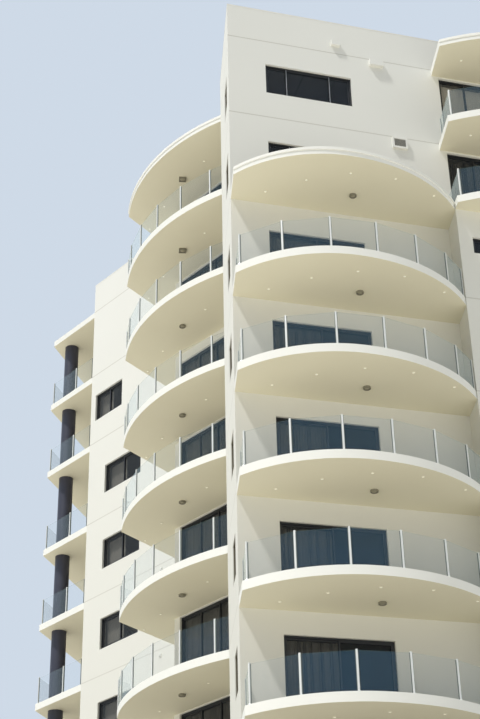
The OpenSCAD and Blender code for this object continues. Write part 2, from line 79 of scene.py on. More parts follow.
# %% Place the camera
PHOTO_HEIGHT = 719
FOCAL_PIXELS = 1431.3
SENSOR = 36.0
CROP_SHIFT = -0.07
VIEW_REACH = 2000
BEARING, PITCH, ROLL = (math.radians(a) for a in (17.455, 30.028, -2.448))
CAMERA_PLACE = Vector((-18.558, -43.212, 0.4))

level_forward = Vector((math.sin(BEARING), math.cos(BEARING), 0))
forward = level_forward * math.cos(PITCH) + Vector((0, 0, math.sin(PITCH)))
level_right = Vector((math.cos(BEARING), -math.sin(BEARING), 0))
level_up = level_right.cross(forward)
right = level_right * math.cos(ROLL) + level_up * math.sin(ROLL)
up = level_up * math.cos(ROLL) - level_right * math.sin(ROLL)

camera_data = bpy.data.cameras.new("camera")
camera_data.sensor_width = SENSOR
camera_data.lens = FOCAL_PIXELS / PHOTO_HEIGHT * SENSOR
camera_data.shift_x = CROP_SHIFT
camera_data.clip_end = VIEW_REACH
camera = bpy.data.objects.new("camera", camera_data)
bpy.context.scene.collection.objects.link(camera)
turn = Matrix((right, up, -forward)).transposed().to_4x4()
camera.matrix_world = Matrix.Translation(CAMERA_PLACE) @ turn
bpy.context.scene.camera = camera
print("lens", round(camera_data.lens, 1), "mm")

# %% [markdown]
# ## Reading the solids
# Many like pieces share one CAD node, such as all the posts of a side. An imported node is
# loose triangles, so a copy is merged first, and then a walk along the edges finds each
# separate solid. A plain box comes out with eight corner points. Every frame, lamp and gasket
# below takes its place from these solids.

# %% Find the separate solids of a node
MERGE = 0.0005
BOX_POINTS = 8


def solids(*names):
    """The separate solids of CAD nodes, each as an array of its corner points."""
    found = []
    for name in names:
        mesh = bmesh.new()
        mesh.from_mesh(nodes[name].data)
        bmesh.ops.remove_doubles(mesh, verts=mesh.verts, dist=MERGE)
        seen = set()
        for start in mesh.verts:
            if start in seen:
                continue
            seen.add(start)
            group = [start]
            for vert in group:
                others = [edge.other_vert(vert) for edge in vert.link_edges]
                group.extend(v for v in others if v not in seen)
                seen.update(others)
            found.append(np.array([v.co[:] for v in group]))
        mesh.free()
    return found


floor_levels = sorted(round(float(s[:, 2].max()), 3) for s in solids("floor_slabs"))
roof_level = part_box("roof_slab")[1].z
wall_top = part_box("rear_wall")[1].z
print("floors at", floor_levels, "roof at", round(roof_level, 3))

# %% [markdown]
# ## Flat solids
# A pane of glass is a thin upright box, turned to any side. Its long direction in plan is the
# main axis of its corner points, which a singular value decomposition gives. Outwards is the
# side away from the middle of the footprint. The same reading serves for the windows, the
# balustrades, the posts and the small vents.

# %% Read a thin upright box


class Panel:
    """A thin upright solid: its middle, its directions in plan, its width and its heights."""

    def __init__(self, points):
        plan = points[:, :2]
        middle = (plan.min(0) + plan.max(0)) / 2
        along = np.linalg.svd(plan - plan.mean(0))[2][0]
        out = np.array((along[1], -along[0]))
        if out @ middle < 0:
            out = -out
        self.middle = Vector(middle)
        self.out = Vector(out)
        self.right = Vector((-out[1], out[0]))
        reach = (plan - middle) @ np.array(self.right)
        depth = (plan - middle) @ out
        self.width = float(reach.max() - reach.min())
        self.thickness = float(depth.max() - depth.min())
        self.low, self.high = float(points[:, 2].min()), float(points[:, 2].max())
        self.height = self.high - self.low

    def place(self, shift=0.0):
        """Local X runs to the right, local Y into the building and Z up from the lower edge."""
        at = self.middle + self.right * shift
        return Matrix((
            (self.right.x, -self.out.x, 0, at.x),
            (self.right.y, -self.out.y, 0, at.y),
            (0, 0, 1, self.low),
            (0, 0, 0, 1)))


def panels(*names):
    """The panels of CAD nodes, in a fixed order."""
    found = [Panel(points) for points in solids(*names)]
    return sorted(found, key=lambda p: tuple(round(v, 2) for v in (p.low, *p.middle)))


print(len(panels("front_panes")), "openings in the front walls")

# %% [markdown]
# ## Hand tools
# Blender's operators act on what is selected, so each step starts from a clean selection. The
# helpers below are the moves that a modeller repeats: start from a block, go into edit mode,
# and pick faces by where they look. A face counts as looking one way where that part of its
# normal is over nine tenths.

# %% Select, start and edit
FACING = 0.9


def deselect():
    """Leaves nothing selected."""
    bpy.ops.object.select_all(action="DESELECT")


def activate(*pieces):
    """Selects these pieces alone, with the first as the active one."""
    deselect()
    for piece in pieces:
        piece.select_set(True)
    bpy.context.view_layer.objects.active = pieces[0]


def apply_place():
    """Puts the place, turn and scale of what is selected into its mesh."""
    bpy.ops.object.transform_apply(location=True, rotation=True, scale=True)


def block(low, high):
    """A box from its lowest to its highest corner, as a start for a piece."""
    deselect()
    low, high = Vector(low), Vector(high)
    bpy.ops.mesh.primitive_cube_add(size=1, location=(low + high) / 2, scale=high - low)
    apply_place()
    return bpy.context.object


@contextmanager
def editing(piece):
    """Edit mode on one piece, with all of it selected at first."""
    activate(piece)
    bpy.ops.object.mode_set(mode="EDIT")
    bpy.ops.mesh.select_all(action="SELECT")
    yield
    bpy.ops.object.mode_set(mode="OBJECT")


def pick_faces(piece, wanted):
    """In edit mode, selects the faces whose centre and normal pass a test."""
    bpy.ops.mesh.select_mode(type="FACE")
    bpy.ops.mesh.select_all(action="DESELECT")
    mesh = bmesh.from_edit_mesh(piece.data)
    for face in mesh.faces:
        face.select_set(bool(wanted(face.calc_center_median(), face.normal)))
    bmesh.update_edit_mesh(piece.data)


# %% [markdown]
# ## Modifiers
# A modifier reshapes a whole mesh from a few settings, and applying it makes the result real.
# The bevel is used most. It ends nearly every piece, because no real edge is perfectly sharp,
# and a rounded edge catches the light.

# %% Apply a modifier
FINE_EDGE = 0.001


def modify(piece, kind, **settings):
    """Gives a piece one modifier and applies it."""
    activate(piece)
    modifier = piece.modifiers.new("shaping", kind)
    for name, value in settings.items():
        setattr(modifier, name, value)
    bpy.ops.object.modifier_apply(modifier=modifier.name)


def bevel(piece, width, segments=1):
    """Rounds the sharp edges of a piece."""
    modify(piece, "BEVEL", width=width, segments=segments, limit_method="ANGLE")


# %% [markdown]
# ## Copies
# On a building most things come in numbers. A piece is modelled once, around the origin, and a
# copy of its mesh is moved to each place. The copies are joined, because one object for each
# kind of piece is easier to handle than hundreds.

# %% Join and repeat


def join(pieces, name):
    """One object from several, with its place in its mesh."""
    activate(*pieces)
    if len(pieces) > 1:
        bpy.ops.object.join()
    piece = bpy.context.object
    piece.name = name
    piece.data.name = name
    return piece


def repeat(piece, places, name):
    """A copy of a piece at each place, each with its own mesh, joined into one object."""
    copies = []
    for place in places:
        copy = piece.copy()
        copy.data = piece.data.copy()
        copy.data.transform(place)
        bpy.context.scene.collection.objects.link(copy)
        copies.append(copy)
    bpy.data.objects.remove(piece)
    return join(copies, name)


# %% [markdown]
# ## Mounting
# A finished piece gets its material and the body of the frame that carries it. A building has
# no joints, so all of it rides on the one body, the root.

# %% Mount a piece


def mounted(piece, material):
    """Gives a finished piece its material and its body."""
    piece.data.materials.clear()
    piece.data.materials.append(material)
    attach(piece, "root")
    print(piece.name, len(piece.data.polygons), "faces")
    return piece


# %% [markdown]
# ## Shader maths as Python
# A material is a graph of nodes. Wiring it by hand takes many lines, so one small class stands
# for a socket: sums and products of such wires add the Math nodes, and one method adds any
# other node. A formula in the code then reads like the formula that it is.

# %% A wire for shader graphs


class Wire:
    """A socket in a material's node tree."""

    def __init__(self, tree, socket=None):
        self.tree = tree
        self.socket = socket

    def node(self, kind, settings=None, inputs=None, output=0):
        """Adds a node: settings first, such as a ramp's stops, then its sockets' values."""
        made = self.tree.nodes.new(kind)
        for name, value in (settings or {}).items():
            if name == "stops":
                ramp = made.color_ramp.elements
                ramp[0].position, ramp[0].color = value[0]
                ramp[1].position, ramp[1].color = value[-1]
                for place, colour in value[1:-1]:
                    ramp.new(place).color = colour
            else:
                setattr(made, name, value)
        for name, value in (inputs or {}).items():
            if isinstance(value, Wire):
                self.tree.links.new(value.socket, made.inputs[name])
            else:
                made.inputs[name].default_value = value
        return Wire(self.tree, made.outputs[output]) if made.outputs else None

    def math(self, operation, *values):
        """Adds a Math node for one operation on values or wires."""
        return self.node("ShaderNodeMath", {"operation": operation}, dict(enumerate(values)))

    def absolute(self):
        return self.math("ABSOLUTE", self)

    def fraction(self):
        return self.math("FRACT", self)

    def larger(self, other):
        return self.math("MAXIMUM", self, other)

    def __add__(self, other):
        return self.math("ADD", self, other)

    def __radd__(self, other):
        return self.math("ADD", other, self)

    def __sub__(self, other):
        return self.math("SUBTRACT", self, other)

    def __rsub__(self, other):
        return self.math("SUBTRACT", other, self)

    def __mul__(self, other):
        return self.math("MULTIPLY", self, other)

    def __rmul__(self, other):
        return self.math("MULTIPLY", other, self)

    def __lt__(self, other):
        return self.math("LESS_THAN", self, other)

    def __gt__(self, other):
        return self.math("GREATER_THAN", self, other)


# %% [markdown]
# ## Colours
# Paints are matched on a screen, which gives each colour as three numbers from 0 to 255.
# Blender calculates light in linear values, where twice the number is twice the light. So each
# colour is written as on a screen and turned by the screen's own curve.

# %% Colours as on a screen


def paint(red, green, blue):
    """A colour written as on a screen, from 0 to 255, as Blender's linear values."""
    shares = [value / 255 for value in (red, green, blue)]
    return (*(v / 12.92 if v <= 0.04045 else ((v + 0.055) / 1.055) ** 2.4 for v in shares), 1)


# %% [markdown]
# ## A finish in the making
# Each material starts from the same two readings. One is the point on the object in metres, so
# that a pattern has its real scale and stays where it is. The other is the direction in which
# the surface looks, and a surface counts as level where the Z of its normal is past a half. It
# ends in one Principled shader. In a Mix node, inputs 6 and 7 and output 2 are its colours.

# %% Finishes
LEVEL = 0.5


class Finish:
    """A material in the making: its point on the object, its noises and its surface."""

    def __init__(self, name):
        self.material = bpy.data.materials.new(name)
        self.material.use_nodes = True
        tree = self.material.node_tree
        tree.nodes.clear()
        self.start = Wire(tree)
        self.point = self.start.node("ShaderNodeTexCoord", output="Object")
        geometry = self.start.node("ShaderNodeNewGeometry", output="Normal")
        self.facing = self.split(geometry)
        self.at = self.split(self.point)

    def split(self, vector):
        """The X, Y and Z of a vector."""
        split = "ShaderNodeSeparateXYZ"
        return [self.start.node(split, inputs={0: vector}, output=axis) for axis in range(3)]

    def mix(self, first, second, factor):
        """A colour from the first to the second as the factor goes from 0 to 1."""
        ends = {0: factor, 6: first, 7: second}
        return self.start.node("ShaderNodeMix", {"data_type": "RGBA"}, ends, output=2)

    def noise(self, scale, detail=4.0, rough=0.5):
        """A smooth random value from 0 to 1, with scale bumps in a metre."""
        inputs = {"Vector": self.point, "Scale": scale, "Detail": detail, "Roughness": rough}
        return self.start.node("ShaderNodeTexNoise", inputs=inputs)

    def between(self, value, low, high):
        """Takes a value from the range 0 to 1 to the range low to high."""
        return value * (high - low) + low

    def bump(self, height, strength, depth):
        """A relief of some depth in metres, for the Normal of the surface."""
        inputs = {"Height": height, "Strength": strength, "Distance": depth}
        return self.start.node("ShaderNodeBump", inputs=inputs)

    def surface(self, **sockets):
        """Ends the graph in a Principled shader, with words such as Base_Color for its sockets."""
        inputs = {name.replace("_", " "): value for name, value in sockets.items()}
        shader = self.start.node("ShaderNodeBsdfPrincipled", inputs=inputs)
        self.start.node("ShaderNodeOutputMaterial", inputs={"Surface": shader})
        return self.material


def wear(material, *names):
    """Gives CAD nodes a new material, in each of their slots."""
    for name in names:
        for place in nodes[name].material_slots:
            place.material = material


# %% [markdown]
# ## Rendered walls
# The walls are masonry under a coat of painted render: near white, matt, with a fine grain and
# a trowelled unevenness that only raking light shows. The coat is made a little darker towards
# the ground. At each floor it is parted by a narrow joint, so that it can move without
# cracking. The joints are a mask on height, at the floor levels that the frame gives. No shade
# of the balconies is painted in.

# %% Wall render
JOINT = 0.038
DARKER_AT_FOOT = 0.8
wall_levels = floor_levels + [roof_level]


def wall_finish():
    finish = Finish("wall_render")
    lines = [(finish.at[2] - level).absolute() < JOINT / 2 for level in wall_levels]
    joint = sum(lines[1:], lines[0])
    cloud = finish.noise(0.35, detail=3)
    grain = finish.noise(220, detail=3, rough=0.6)
    trowel = finish.noise(3.5, detail=3)
    base = finish.mix(paint(238, 238, 232), paint(232, 232, 226), cloud)
    # The colour grows darker towards the ground, evenly with height.
    dust = (1 - finish.at[2] * (1 / wall_top)) * DARKER_AT_FOOT
    darker_low = finish.mix(base, paint(208, 206, 194), dust)
    grained = finish.mix(darker_low, paint(224, 223, 215), finish.between(grain, 0, 0.3))
    colour = finish.mix(grained, paint(208, 206, 197), joint)
    rough = finish.between(grain, 0.78, 0.92)
    relief = finish.bump(grain * 0.3 + trowel - joint * 2, strength=0.25, depth=0.004)
    return finish.surface(Base_Color=colour, Roughness=rough, Normal=relief)


walls = [name for name in nodes if "wall" in name or "cheek" in name]
walls.remove("wall_boxes")
wear(wall_finish(), *walls)
print(len(walls), "walls rendered")

# %% [markdown]
# ## Balcony slabs
# Each slab has three faces with three finishes: a smooth white edge, a matt soffit, and a tiled
# top. The soffit's warmer, darker tone is painted shade: it stands for the warm light that
# reaches the soffit from below. The surface normal tells them apart, so one material serves for
# all slabs and needs no UV map. The underside of a canopy's cap looks down too, and keeps the
# white of the edge, so the heights of the caps are masked out.

# %% Slab paint and tiles
TILE = 0.3
GROUT = 0.006
TILE_GLOSS = 0.25
CAP_NEAR = 0.01
balcony_slabs = [name for name in nodes if "_slabs" in name and name != "floor_slabs"]


def cap_undersides():
    """A canopy has a projecting cap, whose underside is the middle level of its solid."""
    found = set()
    for points in solids(*balcony_slabs):
        levels = sorted({round(float(z), 3) for z in points[:, 2]})
        found.update(levels[1:-1])
    return sorted(found)


def slab_finish():
    finish = Finish("slab_paint_and_soffit_shade")
    soffit_shade_mask = finish.facing[2] < -LEVEL
    for level in cap_undersides():
        soffit_shade_mask = soffit_shade_mask * ((finish.at[2] - level).absolute() > CAP_NEAR)
    top = finish.facing[2] > LEVEL
    cloud = finish.noise(0.5, detail=3)
    grain = finish.noise(150, detail=3, rough=0.6)
    edge = finish.mix(paint(242, 242, 236), paint(236, 235, 228), cloud)
    # The soffit's warmer, darker tone is painted shade, for the warm light it gets from below.
    soffit_painted_shade = finish.mix(paint(234, 229, 206), paint(228, 222, 198), cloud)
    lines = [(finish.at[axis] * (1 / TILE)).fraction() < GROUT / TILE for axis in (0, 1)]
    grout = lines[0].larger(lines[1])
    tile = finish.mix(paint(192, 185, 170), paint(178, 170, 155), finish.noise(1.2, detail=5))
    tiled = finish.mix(tile, paint(132, 127, 117), grout)
    colour = finish.mix(finish.mix(edge, soffit_painted_shade, soffit_shade_mask), tiled, top)
    rough = finish.between(grain, 0.66, 0.8) - top * TILE_GLOSS
    relief = finish.bump(grain * 0.25 - grout * top * 2, strength=0.2, depth=0.003)
    return finish.surface(Base_Color=colour, Roughness=rough, Normal=relief)


wear(slab_finish(), *balcony_slabs)
print(len(balcony_slabs), "stacks of balcony slabs painted")

# %% [markdown]
# ## Floors and roof
# The floors inside are bare concrete, seen only as dim shapes through the glass. The roof slab
# carries a pale welded membrane whose sheets overlap about each metre.

# %% Concrete and roof membrane
SHEET = 1.05
SEAM, SEAM_TONE = 0.05, 0.6


def concrete_finish():
    finish = Finish("bare_concrete")
    patch = finish.noise(1.5, detail=6)
    pores = finish.noise(90, detail=2)
    colour = finish.mix(paint(178, 174, 166), paint(150, 146, 138), patch)
    rough = finish.between(patch, 0.75, 0.9)
    relief = finish.bump(pores, strength=0.3, depth=0.002)
    return finish.surface(Base_Color=colour, Roughness=rough, Normal=relief)


def membrane_finish():
    finish = Finish("roof_membrane")
    seam = (finish.at[0] * (1 / SHEET)).fraction() < SEAM
    dust = finish.noise(0.8, detail=6)
    colour = finish.mix(paint(188, 188, 182), paint(158, 156, 148), dust)
    seamed = finish.mix(colour, paint(140, 139, 133), seam * SEAM_TONE)
    ripple = finish.noise(25, detail=3)
    rough = finish.between(dust, 0.6, 0.85)
    relief = finish.bump(seam + ripple * 0.3, strength=0.35, depth=0.004)
    return finish.surface(Base_Color=seamed, Roughness=rough, Normal=relief)


wear(concrete_finish(), "ground_slab", "floor_slabs")
wear(membrane_finish(), "roof_slab")
print("floors and roof finished")

# %% [markdown]
# ## Balustrade glass
# The balustrades are clear toughened glass. Seen across a dark door it puts a pale bluish veil
# over it, which is partly the glass's own haze and partly a painted reflection of the sky, and
# its cut edges are a denser green. The panels that look to the street have more of that veil,
# and so has any panel that is seen at a slant, where it also turns paler: that is a painted
# reflection. All of it is a partly transparent surface: it lets the light through to the
# balcony, and an export to other programs keeps it.

# %% Balustrade glass
LEAST_VEIL, SLANT_REFLECTION, EDGE_VEIL = 0.018, 0.6, 0.25
STREET_VEIL_AND_REFLECTION = (0.042, 0.062)
rails = [name for name in nodes if "glass" in name]


def rail_glass_finish():
    finish = Finish("balustrade_glass")
    edge = finish.facing[2].absolute() > LEVEL
    dust = finish.noise(2.5, detail=4)
    # Paler and more opaque at a slant: a painted reflection of the sky.
    slant_reflection = finish.start.node("ShaderNodeLayerWeight", inputs={"Blend": 0.5}, output="Facing")
    steep_reflection = slant_reflection * slant_reflection * slant_reflection * slant_reflection
    # The veil on street-facing panels is partly haze and partly a painted reflection of the sky.
    street_veil_and_reflection = finish.facing[1] * finish.facing[1] * finish.between(dust, *STREET_VEIL_AND_REFLECTION)
    # The bluish colour is partly a painted reflection of the sky.
    clear = finish.mix(paint(88, 148, 190), paint(216, 232, 228), slant_reflection)
    colour = finish.mix(clear, paint(168, 204, 196), edge)
    veil_and_reflection = street_veil_and_reflection + LEAST_VEIL + steep_reflection * SLANT_REFLECTION + edge * EDGE_VEIL
    return finish.surface(Base_Color=colour, Alpha=veil_and_reflection, Roughness=finish.between(dust, 0.03, 0.08))


wear(rail_glass_finish(), *rails)
print(len(rails), "runs of balustrade")

# %% [markdown]
# ## Window glass
# The panes are tinted, dark and polished, with a faint wave. The tint is the share of light
# that the glass keeps back. The centre bay's top storey has clearer panes, which a mask on
# height gives, from a little below that floor. The flank windows have a greyer glass.

# %% Window glass
TINT, FLANK_TINT = 0.42, 0.34
CLEARED = 0.8
BELOW_FLOOR = 0.1
top_storey = floor_levels[-1] - BELOW_FLOOR


def window_glass_finish(name, dark, light, tint, clear_from=None):
    finish = Finish(name)
    wave = finish.noise(0.9, detail=2)
    dust = finish.noise(3, detail=4)
    colour = finish.mix(dark, light, dust)
    relief = finish.bump(wave, strength=0.15, depth=0.004)
    if clear_from:
        tint = tint - (finish.at[2] > clear_from) * (tint * CLEARED)
    settings = {"Roughness": finish.between(dust, 0.03, 0.09), "Alpha": tint, "Normal": relief}
    return finish.surface(Base_Color=colour, Specular_IOR_Level=0.4, **settings)


navy = paint(24, 31, 40), paint(36, 44, 54)
grey = paint(42, 46, 49), paint(56, 60, 62)
openings = [name for name in nodes if name.endswith("_panes")]
wear(window_glass_finish("window_glass", *navy, TINT), *openings)
wear(window_glass_finish("centre_glass", *navy, TINT, top_storey), "centre_panes")
wear(window_glass_finish("flank_glass", *grey, FLANK_TINT), "flank_panes")
print(len(openings), "sets of panes")

# %% [markdown]
# ## Metals and paint
# The posts are satin metal, brushed along their length. The window frames are aluminium with a
# dark powder coat, which has a very fine orange peel, and the same coat in other colours serves
# for the other painted metal. The rear columns are dark blue-grey, painted darker than their own
# paint, which is painted shade for the deep shade around them.

# %% Metals and coats
BRUSHED = (300, 300, 6)
posts = [name for name in nodes if name.endswith("_posts")]


def brushed_finish(name, colour, worn, rough):
    finish = Finish(name)
    along = {"Vector": finish.point, "Scale": BRUSHED}
    stretched = finish.start.node("ShaderNodeMapping", inputs=along)
    strokes = {"Vector": stretched, "Scale": 1.0, "Detail": 2.0}
    brush = finish.start.node("ShaderNodeTexNoise", inputs=strokes)
    dull = finish.noise(4, detail=3)
    tone = finish.mix(colour, worn, dull)
    relief = finish.bump(brush, strength=0.1, depth=0.0005)
    roughness = finish.between(brush, rough - 0.05, rough + 0.07)
    return finish.surface(Base_Color=tone, Metallic=0.15, Roughness=roughness, Normal=relief)


def coated_finish(name, colour, worn, rough):
    finish = Finish(name)
    peel = finish.noise(260, detail=2)
    dust = finish.noise(2.2, detail=5)
    tone = finish.mix(colour, worn, finish.between(dust, 0, 0.6))
    relief = finish.bump(peel, strength=0.15, depth=0.0006)
    roughness = finish.between(dust, rough - 0.06, rough + 0.08)
    return finish.surface(Base_Color=tone, Roughness=roughness, Normal=relief)


post_metal = brushed_finish("post_metal", paint(240, 241, 238), paint(226, 227, 224), 0.32)
# The strips' light grey is partly the metal and partly a painted highlight of sunlit joints.
bare_metal_and_highlight = brushed_finish("bare_aluminium_and_highlight", paint(172, 176, 180), paint(152, 156, 160), 0.35)
frame_coat = coated_finish("frame_coat", paint(22, 24, 28), paint(38, 41, 46), 0.42)
# Darker than the columns' own paint: painted shade for the deep shade they stand in.
column_paint = coated_finish("column_paint", paint(50, 52, 67), paint(64, 65, 79), 0.42)
box_paint = coated_finish("box_paint", paint(238, 238, 232), paint(224, 223, 215), 0.6)
wear(post_metal, *posts)
wear(column_paint, "deck_columns")
wear(box_paint, "wall_boxes")
print("metals and paints ready")

# %% [markdown]
# ## Window and door frames
# A sliding window is a fixed outer frame that holds sashes side by side, and each second sash
# runs on a track further out. All of it is the same move: a block of the frame's outer size,
# its front and back face inset by the bar's width, and the two inner faces bridged, which opens
# the block. A door's sashes have a taller bar at their foot. A light bevel catches the light
# along the bars.

# %% Frame parts
OUTER_BAR, OUTER_DEPTH = 0.05, 0.11
SASH_BAR, SASH_BACK = 0.048, 0.024
OUTER_TRACK, INNER_TRACK = 0.044, 0.020
FRAME_EDGE = 0.003


def lift_lower_edges(piece, rise):
    """In edit mode, lifts the lower edge of each selected face."""
    mesh = bmesh.from_edit_mesh(piece.data)
    for face in mesh.faces:
        if face.select:
            lowest = min(v.co.z for v in face.verts)
            for vert in face.verts:
                if vert.co.z < lowest + MERGE:
                    vert.co.z += rise
    bmesh.update_edit_mesh(piece.data)


def open_frame(low, high, bar, foot=None):
    """A rectangular frame between two corners, with bars of one width and a foot of its own."""
    piece = block(low, high)
    with editing(piece):
        pick_faces(piece, lambda centre, normal: abs(normal.y) > FACING)
        bpy.ops.mesh.inset(thickness=bar)
        if foot:
            lift_lower_edges(piece, foot - bar)
        bpy.ops.mesh.bridge_edge_loops()
    bevel(piece, FRAME_EDGE)
    return piece


def window_unit(width, height, shares, foot=None):
    """A fixed frame with sashes whose widths are shares of the opening, around the origin."""
    half = width / 2
    parts = [open_frame((-half, -OUTER_DEPTH / 2, 0), (half, OUTER_DEPTH / 2, height), OUTER_BAR)]
    clear = width - 2 * OUTER_BAR
    start = -half + OUTER_BAR
    last = len(shares) - 1
    for count, share in enumerate(shares):
        stop = start + clear * share / sum(shares)
        front = -(OUTER_TRACK if count % 2 else INNER_TRACK)
        low = (start - (SASH_BAR / 2 if count else 0), front, OUTER_BAR)
        high = (stop + (0 if count == last else SASH_BAR / 2), SASH_BACK, height - OUTER_BAR)
        parts.append(open_frame(low, high, SASH_BAR, foot))
        start = stop
    return join(parts, "unit")


# %% [markdown]
# ## Strips on the joints
# Where two sashes of a wide window meet, a strip of bare aluminium stands on the joint and
# shows as a thin light line. Its light tone is partly the metal and partly a painted highlight,
# as the sun lights these upright joints. It is a narrow block with its edges taken off.

# %% Strips for one unit
STRIP_WIDTH, STRIP_DEPTH = 0.014, 0.012


def joint_strips(width, height, shares):
    """Strips on the joints between the sashes of a unit, on the outer side of their bars."""
    clear = width - 2 * OUTER_BAR
    strips = []
    for count in range(1, len(shares)):
        middle = clear * (sum(shares[:count]) / sum(shares) - 0.5)
        low = (middle - STRIP_WIDTH / 2, -OUTER_TRACK - STRIP_DEPTH, OUTER_BAR)
        strip = block(low, (middle + STRIP_WIDTH / 2, -OUTER_TRACK, height - OUTER_BAR))
        bevel(strip, FRAME_EDGE)
        strips.append(strip)
    return join(strips, "strips")


# %% [markdown]
# ## Every opening gets its frame
# Openings of one size take the same unit. It is modelled once, and a copy goes to each opening
# with the opening's own directions. The shares of the sashes follow the photograph: three
# sashes with a wide middle one in the upper front windows, two in the front doors and the flank
# windows, and three in the terrace doors. The narrow windows of the corner walls have a thin
# dark olive liner round their reveals, which is one more open frame. It is painted shade, a
# dark sheet that stands for the shade inside the reveals.

# %% Frames in all openings
DOOR_FOOT = 0.09
TALL = 2.0
SHADE_LINER, SHADE_LINER_REACH = 0.008, 0.1
shares_of = {
    "front_panes": {"door": (1, 1), "window": (0.65, 1.44, 0.68)},
    "centre_panes": {"door": (1, 1.3, 1), "window": (1, 1)},
    "side_panes": {"door": (1, 1, 1), "window": (1,)},
    "flank_panes": {"window": (1, 1)},
    "deck_panes": {"door": (1, 1)},
    "rear_panes": {"window": (1, 1)},
}

doors = {name: [] for name in shares_of}
strips = []
shade_liners = []
for name, kinds in shares_of.items():
    sizes = {}
    for panel in panels(name):
        sizes.setdefault((round(panel.width, 2), round(panel.height, 2)), []).append(panel)
    frames = []
    for (width, height), group in sorted(sizes.items()):
        places = [panel.place() for panel in group]
        kind = "door" if height > TALL else "window"
        foot = DOOR_FOOT if kind == "door" else None
        frames.append(repeat(window_unit(width, height, kinds[kind], foot), places, "frames"))
        if kind == "door" or name == "flank_panes":
            doors[name].extend(group)
        if kind == "window" and name in ("front_panes", "rear_panes"):
            strips.append(repeat(joint_strips(width, height, kinds[kind]), places, "strips"))
        if kind == "window" and name == "side_panes":
            low, high = (-width / 2, -SHADE_LINER_REACH, 0), (width / 2, -OUTER_DEPTH / 2, height)
            shade_liners.append(repeat(open_frame(low, high, SHADE_LINER), places, "shade_liners"))
    mounted(join(frames, name.replace("panes", "frames")), frame_coat)
# The liners' dark olive coat is painted shade for the inside of the reveals.
slot_shade_coat = coated_finish("slot_shade_coat", paint(112, 105, 86), paint(96, 90, 74), 0.5)
mounted(join(strips, "sash_strips"), bare_metal_and_highlight)
mounted(join(shade_liners, "slot_shade_liners"), slot_shade_coat)

# %% [markdown]
# ## Vertical blinds
# Behind the glass of the doors and the flank windows hang blinds of upright vanes, drawn to one
# side, which show as faint stripes. A vane is a strip of cloth with a slight hollow. It is made
# from a plane that is subdivided across, bent by moving its middle, and given a thickness.

# %% One vane
VANE = 0.089
HOLLOW, CLOTH = 0.008, 0.002


def vane(height):
    """One hollow vane that stands on the origin and faces along Y."""
    deselect()
    bpy.ops.mesh.primitive_grid_add(x_subdivisions=4, y_subdivisions=1, size=1)
    piece = bpy.context.object
    piece.rotation_euler = (math.pi / 2, 0, 0)
    piece.scale = (VANE, height, 1)
    piece.location = (0, 0, height / 2)
    apply_place()
    for vert in piece.data.vertices:
        vert.co.y = HOLLOW * (1 - (2 * vert.co.x / VANE) ** 2)
    modify(piece, "SOLIDIFY", thickness=CLOTH)
    return piece


def blind_finish():
    finish = Finish("blind_cloth")
    weave = finish.noise(400, detail=2)
    colour = finish.mix(paint(214, 210, 198), paint(192, 188, 176), weave)
    return finish.surface(Base_Color=colour, Roughness=finish.between(weave, 0.8, 0.95))


# %% [markdown]
# ## Hanging the blinds
# Each vane hangs at its own angle, from a seeded random number, so every run gives the same
# picture. The flank windows and the centre bay's top storey have their vanes closed. Openings
# of one height take the same vane.

# %% Blinds behind the glass
VANE_GAP = 0.075
BLIND_IN = 0.16
HEAD_GAP, FOOT_GAP = 0.06, 0.03
OPEN_VANES, CLOSED_VANES = {"turned": 30, "sway": 28}, {"turned": 6, "sway": 4}
COVERS = {
    "front_panes": 0.5,
    "centre_panes": 0.9,
    "side_panes": 0.92,
    "flank_panes": 0.46,
    "deck_panes": 0.6,
}
random.seed(12)


def blind_places(panel, cover, turned, sway):
    """Places of the vanes over a share of an opening, from its left side."""
    places = []
    for number in range(int(panel.width * cover / VANE_GAP)):
        shift = -panel.width / 2 + OUTER_BAR + VANE_GAP * (number + 0.5)
        angle = math.radians(turned + random.uniform(-sway, sway))
        hang = Matrix.Translation((0, BLIND_IN, FOOT_GAP)) @ Matrix.Rotation(angle, 4, "Z")
        places.append(panel.place(shift) @ hang)
    return places


hung = {}
for name, group in doors.items():
    for panel in group:
        closed = name == "flank_panes" or (name == "centre_panes" and panel.low > top_storey)
        vanes = blind_places(panel, COVERS[name], **(CLOSED_VANES if closed else OPEN_VANES))
        hung.setdefault(round(panel.height, 2), []).extend(vanes)
blinds = []
for height, places in sorted(hung.items()):
    blinds.append(repeat(vane(height - HEAD_GAP - FOOT_GAP), places, "blinds"))
mounted(join(blinds, "door_blinds"), blind_finish())

# %% [markdown]
# ## Ceiling lamps
# Each soffit has one lamp, a grey rim around an opal dome, and flush downlights. Most lamps are
# round, and two on each side are square. The rim is a cylinder whose lower face is inset and
# pushed up, and four sides make it square. The dome is the lower part of a sphere that a plane
# cuts off. Its parts are shares of the lamp's width and height, so one function makes all sizes.

# %% Rims and domes
ROUND_SIDES = 32
SQUARE_DOME_SIDES = 16
DOME_RINGS = 12
RIM, RIM_SHARE = 0.028, 0.16
HOLLOW_SHARE, EDGE_SHARE = 0.5, 0.12
DOME_SHARE, DROP_SHARE = 0.36, 0.45


